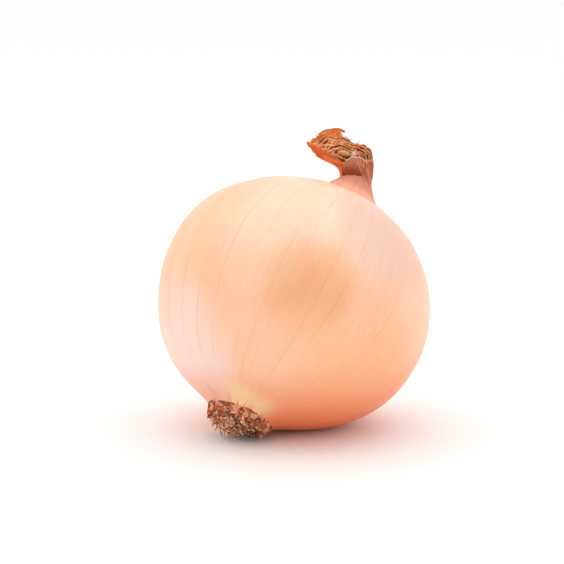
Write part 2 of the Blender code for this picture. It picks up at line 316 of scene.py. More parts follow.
def skin_profile():
    """Points of (radius, height) from the pocket that the leaves grow out of, down to the root plate."""
    shoulder = (SHOULDER_RADIUS, ellipse_height(SHOULDER_RADIUS))
    shoulder_rise = SHOULDER_RUN * ellipse_slope(SHOULDER_RADIUS)
    shoulder_handle = (SHOULDER_RADIUS - SHOULDER_RUN, shoulder[1] + shoulder_rise)
    neck_handle = (NECK_RADIUS + NECK_WIDENING, NECK_HEIGHT - NECK_RUN)
    neck = curve_points((NECK_RADIUS, NECK_HEIGHT), neck_handle, shoulder_handle, shoulder, NECK_POINTS)
    cone = (CONE_RADIUS, -ellipse_height(CONE_RADIUS))
    cone_handle = (CONE_RADIUS - CONE_RUN, cone[1] - CONE_RUN * ellipse_slope(CONE_RADIUS))
    plate_handle = (PLATE_RADIUS + PLATE_RUN, -PLATE_DEPTH + PLATE_RUN)
    root_end = curve_points(cone, cone_handle, plate_handle, (PLATE_RADIUS, -PLATE_DEPTH), CONE_POINTS)
    top = math.acos(SHOULDER_RADIUS / EQUATOR_RADIUS)
    bottom = -math.acos(CONE_RADIUS / EQUATOR_RADIUS)
    angles = [top + (bottom - top) * i / BELLY_RINGS for i in range(1, BELLY_RINGS)]
    belly = [(EQUATOR_RADIUS * math.cos(angle), POLE_HEIGHT * math.sin(angle)) for angle in angles]
    pocket = [
        (0, NECK_HEIGHT - 1.6 * MM),
        (NECK_RADIUS - 0.9 * MM, NECK_HEIGHT - 1.5 * MM),
        (NECK_RADIUS - 0.6 * MM, NECK_HEIGHT - 0.3 * MM),
        (NECK_RADIUS - 0.3 * MM, NECK_HEIGHT + 0.1 * MM),
    ]
    return [*pocket, *neck, *belly, *root_end, (0, -PLATE_DEPTH)]


# %% Spin the profile
SKIN_STEPS = 320


def lathe(name, profile, steps):
    """Draws a profile point by point and spins it round the upright axis."""
    clear_selection()
    bpy.ops.mesh.primitive_plane_add(size=MM)
    turned = added(name)
    edit_whole(turned)
    bpy.ops.mesh.merge(type="CENTER")
    bpy.ops.transform.translate(value=(profile[0][0], 0, profile[0][1]))
    for here, there in zip(profile, profile[1:]):
        step = (there[0] - here[0], 0, there[1] - here[1])
        bpy.ops.mesh.extrude_region_move(TRANSFORM_OT_translate={"value": step})
    bpy.ops.mesh.select_all(action="SELECT")
    bpy.ops.mesh.spin(steps=steps, angle=ROUND, center=(0, 0, 0), axis=(0, 0, 1))
    bpy.ops.object.mode_set(mode="OBJECT")
    tidy_surface(turned)
    return turned


bulb_skin = lathe("bulb_skin", skin_profile(), SKIN_STEPS)
count(bulb_skin)

# %% [markdown]
# ## Relief of the dry skin
# The skin isn't a smooth shell. Veins run under it from the root to the neck, it gathers into pleats at
# both ends, and it has shallow dents. They could be sculpted by hand, but a rule of sines and noise,
# measured round the axis, keeps every fold running from end to end as the real ones do.

# %% Write the relief
RIBS = 19
RIB_RELIEF = 0.13 * MM
LOBE_RELIEF = 0.25 * MM
PLEATS = 15
PLEAT_RELIEF = 0.14 * MM
VEIN_RELIEF = 0.05 * MM
DENT_RELIEF = 0.22 * MM
FINE_PLEAT_RELIEF = 0.1 * MM
PUCKER_RELIEF = 0.08 * MM
PUCKER_START = 33.5 * MM
GATHER_START = POLE_HEIGHT * 0.93
GATHER_END = NECK_HEIGHT * 0.95
SMOOTH_RIM = (39.5 * MM, NECK_HEIGHT - 0.6 * MM)


def skin_relief(azimuth, height):
    latitude = max(1 - (height / PLATE_DEPTH) ** 2, 0)
    lobes = LOBE_RELIEF * latitude * (math.cos(2 * azimuth + 0.7) + 0.6 * math.cos(3 * azimuth + 2.1))
    ribs = RIB_RELIEF * math.sqrt(latitude) * math.cos(RIBS * azimuth + 0.8 * math.sin(3 * azimuth))
    gathered = fade(height, GATHER_START, GATHER_END)
    gathered *= 1 - 0.75 * fade(height, *SMOOTH_RIM)
    pleats = PLEAT_RELIEF * gathered * math.cos(PLEATS * azimuth + 0.9 * math.sin(2 * azimuth))
    round_axis = spoke(azimuth)
    veins = VEIN_RELIEF * noise.noise(round_axis * 14 + Vector((0, 0, height / (30 * MM))))
    dents = DENT_RELIEF * latitude * noise.noise(round_axis * 1.6 + Vector((3, 0, height / (26 * MM))))
    fine_folds = noise.noise(round_axis * 9 + Vector((0, 5, height / (9 * MM))))
    fine_pleats = FINE_PLEAT_RELIEF * gathered * fine_folds
    puckered = fade(-height, PUCKER_START, PLATE_DEPTH)
    puckers = PUCKER_RELIEF * puckered * noise.noise(round_axis * 7 + Vector((0, 9, height / (20 * MM))))
    return lobes + ribs + pleats + veins + dents + fine_pleats + puckers


def shape_skin(skin):
    for vertex in skin.data.vertices:
        point = vertex.co
        radius = math.hypot(point.x, point.y)
        if radius > NECK_RADIUS / 2:
            swell = 1 + skin_relief(math.atan2(point.y, point.x), point.z) / radius
            point.x *= swell
            point.y *= swell
        vertex.co = crooked(point)


shape_skin(bulb_skin)
lay_down(bulb_skin)

# %% [markdown]
# ## The flat spot
# The onion's weight presses its skin flat where it lies. Points below the table's surface are raised onto
# it, which is what a press does, and it keeps the round of points whole.

# %% Press the flat spot
for vertex in bulb_skin.data.vertices:
    vertex.co.z = max(vertex.co.z, 0)
pick(bulb_skin)
bpy.ops.object.shade_smooth()
print("lowest point of the skin:", min(v.co.z for v in bulb_skin.data.vertices))

# %% [markdown]
# ## Leaf bases of the neck
# The neck is a bundle of dead leaf bases, one sheath inside the next. It stands up for a few millimetres,
# then folds sharply over to one side, where it is torn off, so its mouth is a long flat oval that faces the
# front. Tubes that are bent one by one would cut through each other. Here each sheath is drawn along a
# curve with two handles, and the ends and handles of all these curves lie on four hoops. An inner sheath
# runs on the same hoops, drawn in towards a core that is off their middle, so it stays inside the outer
# ones.

# %% Name the hoops
FOOT_SHARE = 0.93
FOOT_SINK = 1.0 * MM
ANKLE_HOOP = (
    (5.9, 0.0, 46.9),
    (3.0, 2.9, 45.6),
    (-1.4, 3.6, 44.6),
    (-4.0, 0.2, 45.6),
    (-1.8, -3.8, 46.2),
    (3.2, -3.9, 46.6),
)
ANKLE_CORE = (0.6, 0.0, 45.4)
KNEE_HOOP = (
    (11.6, 0.4, 41.2),
    (9.6, 1.8, 42.4),
    (-0.2, 3.2, 45.8),
    (-3.0, 0.6, 48.6),
    (-0.4, -2.8, 51.2),
    (8.4, -3.4, 48.8),
)
KNEE_CORE = (4.0, 0.4, 46.8)
MOUTH_HOOP = (
    (18.2, 0.3, 46.3),
    (16.6, 1.7, 45.9),
    (13.6, 2.3, 46.2),
    (10.3, 2.6, 45.5),
    (6.8, 2.6, 44.8),
    (2.8, 2.7, 46.2),
    (-0.4, 2.2, 48.6),
    (-1.0, 0.4, 51.2),
    (1.6, -1.3, 54.2),
    (6.4, -2.2, 54.0),
    (12.2, -2.6, 54.2),
    (16.2, -2.0, 51.6),
)
MOUTH_CORE = (5.4, 0.5, 48.0)


# %% Write the path of a sheath
def cubic(start, start_handle, end_handle, end, share):
    """A point of a curve with two handles."""
    left = 1 - share
    near = start * left**3 + start_handle * (3 * left**2 * share)
    return near + end_handle * (3 * left * share**2) + end * share**3


def on_hoop(hoop, core, share, around):
    """A point of a hoop that runs smoothly through its points, drawn in towards the core by its share."""
    place = around / ROUND * len(hoop)
    number = math.floor(place)
    before, here, there, after = (Vector(hoop[(number + step) % len(hoop)]) for step in (-1, 0, 1, 2))
    outer = cubic(here, here + (there - before) / 6, there - (after - here) / 6, there, place - number)
    return BEND @ Vector(core).lerp(outer, share) * MM


def foot_point(share, around):
    out = spoke(around) * NECK_RADIUS * share * FOOT_SHARE
    return crooked(BEND @ (out + Vector((0, 0, NECK_HEIGHT)))) - Vector((0, 0, FOOT_SINK))


def sheath_point(share, around, rise):
    ankle = on_hoop(ANKLE_HOOP, ANKLE_CORE, share, around)
    knee = on_hoop(KNEE_HOOP, KNEE_CORE, share, around)
    mouth = on_hoop(MOUTH_HOOP, MOUTH_CORE, share, around)
    return cubic(foot_point(share, around), ankle, knee, mouth, rise)


# %% [markdown]
# ## Crinkles and tears
# Dry leaf crumples as it shrinks. Noise of its own for each sheath would push the sheaths through each
# other, so neighbours crumple together: the waves keep their place from one sheath to the next and only
# drift slowly. The torn edge is ragged at two scales, with long bites and short nicks.

# %% Make one crinkled sheath
SHEATH_POINTS = 130
SHEATH_RINGS = 20
CRINKLE = 0.6 * MM
PAGE = 4


def crinkle(point, share, rise):
    """The waves of a sheath, as a push across the mouth."""
    upright = BEND.transposed() @ point / MM
    spot = Vector((upright.x / 1.5, share * 2.6, upright.y * 0.5))
    push = noise.noise(spot) + 0.5 * noise.noise(spot * 2.3)
    return BEND @ Vector((0, -0.4 * push, 1.0 * push)) * CRINKLE * fade(rise, 0.35, 1)


def torn(share, around, depth):
    """How much of its length a sheath has lost here, as a share of it."""
    spot = Vector((math.cos(around) * 2, math.sin(around) * 2, share * 11))
    return depth * (noise.noise(spot) + 0.5 * noise.noise(spot * 5))


def thicken(sheet, wall, offset=-1):
    thick = sheet.modifiers.new("wall", "SOLIDIFY")
    thick.thickness = wall
    thick.offset = offset
    apply_modifiers(sheet)
    tidy_surface(sheet)


def make_sheath(number, share, reach, wall, tear):
    tube = open_tube(f"sheath_{number}", SHEATH_POINTS, SHEATH_RINGS, page=number * PAGE)

    def rule(around, rise):
        length = reach + torn(share, around, tear)
        stretched = rise * (1 + (length - 1) * fade(rise, 0.2, 1))
        point = sheath_point(share, around, stretched)
        return point + crinkle(point, share, stretched)

    shape_tube(tube, rule)
    thicken(tube, wall)
    return tube


# %% Nest the sheaths
SHEATH_SHARES = (1.0, 0.95, 0.89, 0.84, 0.76, 0.71, 0.63, 0.56, 0.48, 0.4, 0.31)
OUTER_WALL = 0.26 * MM
INNER_WALL = 0.14 * MM
TEAR_DEPTH = 0.06
LOST_EACH = 0.008
LOST_EVERY_SECOND = 0.02

sheaths = []
for number, share in enumerate(SHEATH_SHARES):
    wall = OUTER_WALL if number == 0 else INNER_WALL
    shorter = LOST_EVERY_SECOND if number % 2 else 0
    sheaths.append(make_sheath(number, share, 1.0 - LOST_EACH * number - shorter, wall, TEAR_DEPTH))
print("sheaths:", len(sheaths))

# %% [markdown]
# ## The front panel
# In front, an older and browner leaf base still covers the fold. It is a sheet and not a tube: it starts as
# a grid, and a rule bends it round the front of the neck up to its own torn edge, with a few furrows.

# %% Make the front panel
PANEL_FIRST = math.radians(30)
PANEL_LAST = math.radians(112)
PANEL_TOP = ((5.6, 4.2, 45.0), (4.6, 4.9, 47.4), (1.8, 4.6, 48.6), (0.2, 3.8, 48.0))
PANEL_BULGE = 0.7 * MM
PANEL_RELIEF = 0.5 * MM
PANEL_WALL = 0.24 * MM
PANEL_PAGE = 60


def panel_point(across, rise):
    around = PANEL_FIRST + (PANEL_LAST - PANEL_FIRST) * across
    foot = foot_point(1.04, around)
    top = BEND @ cubic(*[Vector(point) for point in PANEL_TOP], across) * MM
    outwards = BEND @ spoke(around)
    dents = noise.noise(Vector((across * 4, rise * 2.2, 7)))
    dents += 0.6 * noise.noise(Vector((across * 11, rise * 3, 2)))
    furrows = PANEL_RELIEF * dents * fade(rise, 0.05, 0.5)
    nicks = noise.noise(Vector((across * 9, 4, 0))) * PANEL_RELIEF * fade(rise, 0.6, 1)
    bulge = PANEL_BULGE * math.sin(math.pi * min(rise * 1.15, 1)) + furrows
    return foot.lerp(top, rise) + outwards * bulge + Vector((0, 0, nicks))


def make_sheet(name, rule, page, across=64, up=24):
    """A grid whose way across and way up, both from 0 to 1, are bent by a rule."""
    clear_selection()
    bpy.ops.mesh.primitive_grid_add(x_subdivisions=across, y_subdivisions=up, size=1)
    sheet = added(name)
    flat_map(sheet, page, lambda point: (point.x + 0.5, point.y + 0.5))
    for vertex in sheet.data.vertices:
        vertex.co = rule(vertex.co.x + 0.5, vertex.co.y + 0.5)
    return sheet


front_panel = make_sheet("front_panel", panel_point, PANEL_PAGE)
thicken(front_panel, PANEL_WALL, offset=0)
count(front_panel)

# %% [markdown]
# ## Tips of the inner leaves
# At the core, two inner leaf bases show as plump ends: a pointed ochre one and a round pale one. Each
# starts as a sphere, which is plump from the start, and is drawn out along one way and pinched to a point
# where the real one has it.

# %% Make the inner tips
TIP_PAGES = (70, 80)


def make_tip(name, page, place, half_size, turn, pinch):
    """A plump leaf end. Its place and half size are in millimetres, and pinch is how pointed it is."""
    clear_selection()
    bpy.ops.mesh.primitive_uv_sphere_add(segments=32, ring_count=20, radius=1)
    tip = added(name)
    flat_map(tip, page, lambda point: (point.x * 0.5 + 0.5, point.z * 0.5 + 0.5))
    tilt = Matrix.Rotation(turn, 3, "Y")
    for vertex in tip.data.vertices:
        narrow = 1 - pinch * max(vertex.co.x, 0) ** 1.5
        wrinkle = 1 + 0.3 * noise.noise(Vector((vertex.co.x * 0.8, vertex.co.y * 2.6, vertex.co.z * 2.6)))
        shaped = Vector((vertex.co.x * half_size[0], vertex.co.y * half_size[1], vertex.co.z * half_size[2]))
        shaped.y *= narrow * wrinkle
        shaped.z *= narrow * wrinkle
        vertex.co = BEND @ (Vector(place) + tilt @ shaped) * MM
    return tip


ochre_tip = make_tip("ochre_tip", TIP_PAGES[0], (7.1, 1.2, 48.0), (2.1, 0.8, 0.8), math.radians(12), 0.8)
pale_tip = make_tip("pale_tip", TIP_PAGES[1], (4.2, 1.5, 48.9), (0.8, 0.7, 1.0), math.radians(35), 0.3)

# %% [markdown]
# ## Threads
# Where the leaves tore, single fibres and shreds stand off them, and further down the onion has its curled
# roots. All of these are threads. Hair particles could draw them, but they are no mesh, and the finished
# model is a mesh. So one short thread is modelled, a tapering tube of five sides, and copied. Each copy has
# its own mesh, bent along its own path.

# %% Model one thread
THREAD_SIDES = 5
THREAD_RINGS = 12
THREAD_PAGE = 90
THICK_END = 1.15
TIP_LOSS = 0.75


def model_thread():
    """A closed tube of unit length and radius."""
    thread = open_tube("first_thread", THREAD_SIDES, THREAD_RINGS, page=THREAD_PAGE)
    edit_whole(thread)
    bpy.ops.mesh.fill_holes(sides=THREAD_SIDES)
    bpy.ops.mesh.normals_make_consistent(inside=False)
    bpy.ops.object.mode_set(mode="OBJECT")
    return thread


first_thread = model_thread()


# %% Bend a copy of it
def grow_thread(path, radius, flatness=0.8):
    """A copy of the thread, with each ring put round its point of the path, and thinner towards its tip."""
    thread = own_copy(first_thread)
    for vertex in thread.data.vertices:
        ring = round(vertex.co.z * THREAD_RINGS)
        ahead = path[min(ring + 1, THREAD_RINGS)] - path[max(ring - 1, 0)]
        facing = ahead.normalized().to_track_quat("Z", "Y")
        taper = THICK_END - TIP_LOSS * (ring / THREAD_RINGS) ** 2
        flat = Vector((vertex.co.x, vertex.co.y * flatness, 0)) * radius * taper
        vertex.co = path[ring] + facing @ flat
    return thread


# %% [markdown]
# ## Frayed fibres
# A torn leaf ends in loose fibres. They are strewn by a seeded rule, thickest where the leaves fold, so
# that they look careless and still come out the same each time. Each strays a little at every step.

# %% Fray the torn edge
FIBRES = 90
FRAYED_FROM, FRAYED_TO, MOST_FRAYED = 255, 355, 318
fray = random.Random(8)


def random_arrow(source, reach):
    """An arrow whose three parts are each drawn between -reach and reach."""
    return Vector([source.uniform(-reach, reach) for _ in range(3)])


def straying_path(start, heading, length, stray):
    """Points along a thread that starts on its heading and strays from it."""
    point, path = start.copy(), []
    for _ in range(THREAD_RINGS + 1):
        path.append(point)
        point = point + heading * length / THREAD_RINGS
        heading = (heading + random_arrow(fray, stray)).normalized()
    return path


def frayed_fibre():
    """A fibre on the back of the torn edge, mostly where the fold is, that lies along the edge."""
    around = math.radians(fray.triangular(FRAYED_FROM, FRAYED_TO, MOST_FRAYED))
    share = fray.choice((1.0, 0.98, 0.95, 0.89))
    start = sheath_point(share, around, 0.98)
    aside = BEND @ Vector((fray.uniform(-1.2, 0.7), fray.uniform(-0.4, 0.4), fray.uniform(-0.1, 0.8)))
    path = straying_path(start, aside.normalized(), fray.uniform(0.5, 1.5) * MM, 0.25)
    return grow_thread(path, fray.uniform(0.08, 0.15) * MM)


fibres = [frayed_fibre() for _ in range(FIBRES)]
print("fibres:", len(fibres))

# %% [markdown]
# ## The wisp
# On top, one tongue of the outermost leaf is left standing and sweeps to one side over the mouth. It is a
# sheet like the panel, but its rule narrows it to a point and tears its end.

# %% Tear the wisp
WISP_FOOT = ((16.6, -1.9, 50.8), (9.6, -2.4, 53.2))
WISP_TIP = (9.2, -2.6, 55.9)
WISP_WALL = 0.16 * MM
WISP_PAGE = 64


def wisp_point(across, rise):
    """A point of the wisp, which is broad at its foot and swept to one side."""
    foot = Vector(WISP_FOOT[0]).lerp(Vector(WISP_FOOT[1]), across)
    tip = Vector(WISP_TIP) + Vector((0.5 - 0.3 * across, 0, 0.25 - 0.5 * across))
    handle = foot + Vector((0.2, -0.1, 1.9))
    near_tip = tip + Vector((3.2, 0, 0.3 - 0.5 * across))
    bites = abs(noise.noise(Vector((across * 7, 3, 1))))
    nicks = abs(noise.noise(Vector((across * 23, 5, 1))))
    point = cubic(foot, handle, near_tip, tip, rise * (1 - 0.5 * bites - 0.25 * nicks))
    crumple = noise.noise(Vector((across * 6, rise * 4, 9)))
    return BEND @ (point + Vector((0, 0.35 * crumple, 0.25 * crumple))) * MM


wisp = make_sheet("wisp", wisp_point, WISP_PAGE, across=48, up=16)
thicken(wisp, WISP_WALL, offset=0)
count(wisp)

# %% [markdown]
# ## Torn strips
# Where the panel tore away on its right, narrow shreds of it stayed behind and hang down over the neck.
# Each is a flattened thread along a curve through a foot, a middle and a tip, given in millimetres.

# %% Split the strips
STRIP_PAGE = 96
STRIP_RADIUS = 0.24 * MM
STRIPS = (
    ((-3.3, 3.9, 42.2), (-0.6, 4.6, 45.6), (1.7, 4.5, 48.1)),
    ((-2.4, 4.6, 42.0), (0.1, 5.0, 44.6), (1.6, 5.0, 46.8)),
    ((-4.5, 2.7, 42.5), (-2.4, 4.2, 45.6), (0.3, 4.0, 48.7)),
    ((-4.0, 3.3, 41.9), (-2.0, 4.4, 44.9), (-0.1, 4.5, 47.6)),
    ((-1.4, 4.9, 42.5), (0.7, 5.2, 44.4), (2.0, 5.2, 46.0)),
)


def torn_strip(foot, middle_point, tip):
    """A flat thread from its tip down to its foot, with a few ripples."""
    foot, middle_point, tip = (Vector(point) for point in (foot, middle_point, tip))
    steps = [i / THREAD_RINGS for i in range(THREAD_RINGS + 1)]
    points = [foot.lerp(middle_point, t).lerp(middle_point.lerp(tip, t), t) for t in steps]
    ripples = [noise.noise(point * 0.8) * 0.25 for point in points]
    path = [BEND @ (point + Vector((ripple, ripple * 0.4, 0))) * MM for point, ripple in zip(points, ripples)]
    strip = grow_thread(path[::-1], STRIP_RADIUS, 0.5)
    for loop in strip.data.uv_layers[0].data:
        loop.uv.x += STRIP_PAGE - THREAD_PAGE
    return strip


strips = [torn_strip(*points) for points in STRIPS]
print("strips:", len(strips))

# %% Join the neck
leaf_bundle = join_pieces([*sheaths, front_panel, ochre_tip, pale_tip, *fibres, wisp, *strips], "leaf_bundle")
finish_piece(leaf_bundle)

# %% [markdown]
# ## The root plate
# Under the bulb, a short stem carries the roots. Its rim is a crumpled band where the feet of the old skins
# tore off, ring inside ring, and its middle is a rough dome that the roots grow from. The rings are tubes,
# and the dome is turned on the lathe as the skin was.

# %% Make the torn rings
COLLAR_POINTS = 200
COLLAR_RINGS = 10
COLLAR_WALL = 0.3 * MM
COLLAR_BULGE = 0.1 * MM
COLLAR_CRUMPLE = 0.4 * MM
COLLAR_TURN_IN = 0.7 * MM
COLLAR_RAGGED = 1.6 * MM


def collar_point(around, rise, radius, start, depth):
    """A point of a torn ring, which hangs from the skin and turns in at its ragged edge."""
    spot = spoke(around)
    bites = noise.noise(spot * 3.1 + Vector((0, 0, radius / MM)))
    nicks = noise.noise(spot * 14 + Vector((0, 0, radius / MM)))
    down = rise * (depth + COLLAR_RAGGED * (bites + 0.9 * nicks))
    crumple = noise.noise(spot * 10 + Vector((0, 0, radius / MM + rise * 1.6)))
    crumple += 0.7 * noise.noise(spot * 24 + Vector((0, 0, radius / MM + rise * 4)))
    bulge = COLLAR_BULGE * math.sin(math.pi * min(rise * 1.2, 1))
    bulge += COLLAR_CRUMPLE * crumple * fade(rise, 0, 0.4)
    out = radius + bulge - COLLAR_TURN_IN * rise**2
    point = Vector((out * spot.x, out * spot.y, -PLATE_DEPTH - start))
    return crooked(point) - Vector((0, 0, down))


def make_collar(name, radius, start, depth):
    tube = open_tube(name, COLLAR_POINTS, COLLAR_RINGS)
    shape_tube(tube, lambda around, rise: collar_point(around, rise, radius, start, depth))
    thicken(tube, COLLAR_WALL, offset=0)
    return tube


collars = [
    make_collar("collar_outer", PLATE_RADIUS, -0.6 * MM, 1.6 * MM),
    make_collar("collar_middle", PLATE_RADIUS - 0.6 * MM, -0.3 * MM, 2.2 * MM),
    make_collar("collar_inner", PLATE_RADIUS - 1.4 * MM, 0, 2.6 * MM),
]

# %% Make the dome that the roots grow from
DOME_RADIUS = 8.2 * MM
DOME_DEPTH = 2.2 * MM
DOME_SUNK = 0.4 * MM
DOME_LUMPS = 0.3 * MM
DOME_RINGS = 14
DOME_STEPS = 96


def dome_profile():
    """Points of (radius, height) from inside the bulb, round the rim and down to the dome's lowest point."""
    rim = [(0, -PLATE_DEPTH + DOME_SUNK), (DOME_RADIUS, -PLATE_DEPTH + DOME_SUNK)]
    angles = [math.pi / 2 * i / DOME_RINGS for i in range(DOME_RINGS + 1)]
    dome = [(DOME_RADIUS * math.cos(angle), -PLATE_DEPTH - DOME_DEPTH * math.sin(angle)) for angle in angles]
    return rim + dome


root_dome = lathe("root_dome", dome_profile(), DOME_STEPS)
for vertex in root_dome.data.vertices:
    lumps = noise.noise(vertex.co / (1.1 * MM)) * DOME_LUMPS
    vertex.co = crooked(vertex.co) + Vector((0, 0, lumps))

# %% [markdown]
# ## Flakes
# The torn rings shed scraps of dry skin that stick to them. One scrap is modelled, a ball pressed flat with
# only a few dozen faces, and each of its copies is turned, sized and crumpled its own way.

# %% Scatter the flakes
FLAKES = 160
RIM_RADIUS = 9.5 * MM
RIM_GAP = 0.1 * MM
scatter = random.Random(3)


def model_flake():
    """A crumpled scrap of unit size, from a ball pressed flat."""
    clear_selection()
    bpy.ops.mesh.primitive_uv_sphere_add(segments=8, ring_count=6, radius=1)
    flake = added("first_flake")
    for vertex in flake.data.vertices:
        vertex.co.z = vertex.co.z * 0.3 + 0.35 * vertex.co.x * vertex.co.y
    return flake


def stick_flake(first_flake):
    """A copy of the flake on the torn rings, turned and sized its own way."""
    flake = own_copy(first_flake)
    around = scatter.uniform(0, ROUND)
    down = scatter.uniform(-0.7, 2.4) * MM
    out = RIM_RADIUS - 0.45 * max(down, 0) + scatter.uniform(-0.4, 0.1) * MM
    spot = Vector((out * math.cos(around), out * math.sin(around), -PLATE_DEPTH))
    place = crooked(spot) - Vector((0, 0, down))
    facing = Matrix.Rotation(around, 3, "Z") @ Matrix.Rotation(scatter.gauss(math.pi / 2, 0.6), 3, "Y")
    facing = facing @ Matrix.Rotation(scatter.uniform(0, ROUND), 3, "Z")
    size = Vector((scatter.uniform(0.4, 1.0), scatter.uniform(0.3, 0.55), scatter.uniform(0.25, 0.5))) * MM
    for vertex in flake.data.vertices:
        rough = 1 + 0.5 * noise.noise(vertex.co * 1.7 + Vector((around * 9, 0, 0)))
        vertex.co = place + facing @ Vector([v * s for v, s in zip(vertex.co, size)]) * rough
    return flake


first_flake = model_flake()
flakes = [stick_flake(first_flake) for _ in range(FLAKES)]
bpy.data.objects.remove(first_flake)

# %% Join the root plate
root_flakes = join_pieces(flakes, "root_flakes")
root_plate = join_pieces(collars, "root_plate")
for piece in (root_flakes, root_plate, root_dome):
    finish_piece(piece, RIM_GAP)

# %% [markdown]
# ## Rootlets
# Dried roots curl as they shrink, each its own way. Each is a copy of the same thin tube, bent along its
# own curling path. They start evenly spread over the dome, stay within a tuft that narrows away from the
# bulb, and lie on the table where they reach it.

# %% Curl the roots
ROOTS = 340
ROOT_RADIUS = 0.33 * MM
ROOT_LENGTH = 9.0 * MM
TUFT_RADIUS = 7.3 * MM
TUFT_SPREAD = 8.6 * MM
TUFT_TAPER = 0.42
LONG_SIDE = math.radians(135)
TABLE_GAP = 0.25 * MM
GOLDEN_ANGLE = math.pi * (3 - math.sqrt(5))
draw = random.Random(5)
to_upright = laid_down.inverted()
plate_middle = crooked(Vector((0, 0, -PLATE_DEPTH)))


def above_table(point, radius):
    """The point itself, or one above it where a thread of this radius would touch the table."""
    lying = laid_down @ point
    lying.z = max(lying.z, radius + TABLE_GAP)
    return to_upright @ lying


def root_path(number):
    """Points along a curling root, from inside the dome outwards and never into the table."""
    share = math.sqrt((number + 0.5) / ROOTS)
    around = number * GOLDEN_ANGLE + draw.uniform(-0.3, 0.3)
    out = spoke(around)
    point = out * TUFT_RADIUS * share
    point.z = -PLATE_DEPTH - DOME_DEPTH * math.sqrt(max(1 - share**2, 0)) * 0.6
    heading = (out * -0.3 * share + Vector((0, 0, -1))).normalized()
    spin = random_arrow(draw, 1).normalized()
    turn = draw.uniform(0.2, 0.95) * draw.choice((-1, 1))
    long_side = 0.72 + 0.42 * share * math.cos(around - LONG_SIDE)
    step = ROOT_LENGTH * draw.uniform(0.65, 1.15) * long_side / THREAD_RINGS
    point = crooked(point)
    path = []
    for _ in range(THREAD_RINGS + 1):
        off = point - plate_middle
        spread = max(math.hypot(off.x, off.y) / (TUFT_SPREAD - TUFT_TAPER * max(-off.z, 0)), 1)
        point = plate_middle + Vector((off.x / spread, off.y / spread, off.z))
        path.append(above_table(point, ROOT_RADIUS))
        point = point + heading * step
        heading = Matrix.Rotation(turn, 3, spin) @ heading
        spin = (spin + random_arrow(draw, 0.5)).normalized()
    return path


roots = [grow_thread(root_path(number), ROOT_RADIUS * draw.uniform(0.7, 1.25)) for number in range(ROOTS)]
rootlets = join_pieces(roots, "rootlets")
finish_piece(rootlets)

# %% [markdown]
# ## Crumbs of the torn rim
# Old roots and skin feet also break off short. They stay as curled crumbs all over the torn rings, so the
# rim looks crumbly and not cut. A bump in the finish would leave the rim's outline smooth, so they are
# short copies of the same thread, thick for their length.

# %% Lay the crumbs
CRUMBS = 560
CRUMB_LENGTH = 2.6 * MM
CRUMB_RADIUS = 0.34 * MM


def crumb_path():
    """A short curl that lies on the torn rings."""
    around = draw.uniform(0, ROUND)
    down = draw.triangular(-1.3, 2.9, -0.4) * MM
    out = RIM_RADIUS - 0.55 * max(down, 0) + draw.uniform(-0.35, 0.1) * MM
    outwards = spoke(around)
    point = crooked(outwards * out - Vector((0, 0, PLATE_DEPTH))) - Vector((0, 0, down))
    sideways = Vector((-outwards.y, outwards.x, 0))
    heading = (sideways * draw.uniform(-1, 1) + Vector((0, 0, draw.uniform(-1, 0.7)))).normalized()
    turn = draw.uniform(0.1, 0.4) * draw.choice((-1, 1))
    path = []
    step = CRUMB_LENGTH * draw.uniform(0.4, 1.1) / THREAD_RINGS
    for _ in range(THREAD_RINGS + 1):
        path.append(above_table(point, CRUMB_RADIUS))
        point = point + heading * step
        heading = Matrix.Rotation(turn, 3, outwards) @ heading
    return path


crumbs = [grow_thread(crumb_path(), CRUMB_RADIUS * draw.uniform(0.6, 1.2)) for _ in range(CRUMBS)]
bpy.data.objects.remove(first_thread)
rim_crumbs = join_pieces(crumbs, "rim_crumbs")
finish_piece(rim_crumbs)

# %% [markdown]
# ## Writing materials as sums
# A node tree is easier to read as arithmetic. A small class wraps a socket, so that adding or multiplying
# values adds the Math nodes, and one method makes any other node.

# %% Make the finish helpers
class Value:
    """A number that changes over a surface. Sums and products on it add Math nodes."""

    def __init__(self, finish, socket):
        self.finish = finish
        self.socket = socket

    def combined(self, operation, *numbers):
        sockets = {index: number for index, number in enumerate(numbers)}
        return self.finish.node("ShaderNodeMath", {"operation": operation}, sockets)

    def __add__(self, other):
        return self.combined("ADD", self, other)

    def __sub__(self, other):
        return self.combined("SUBTRACT", self, other)

    def __rsub__(self, other):
        return self.combined("SUBTRACT", other, self)

    def __mul__(self, other):
        return self.combined("MULTIPLY", self, other)

    def __abs__(self):
        return self.combined("ABSOLUTE", self)

    def fraction(self):
        return self.combined("FRACT", self)

    __radd__ = __add__
    __rmul__ = __mul__

    def step(self, start, end):
        """A smooth step from 0 at start to 1 at end."""
        settings = {"interpolation_type": "SMOOTHSTEP"}
        return self.finish.node("ShaderNodeMapRange", settings, {0: self, 1: start, 2: end})


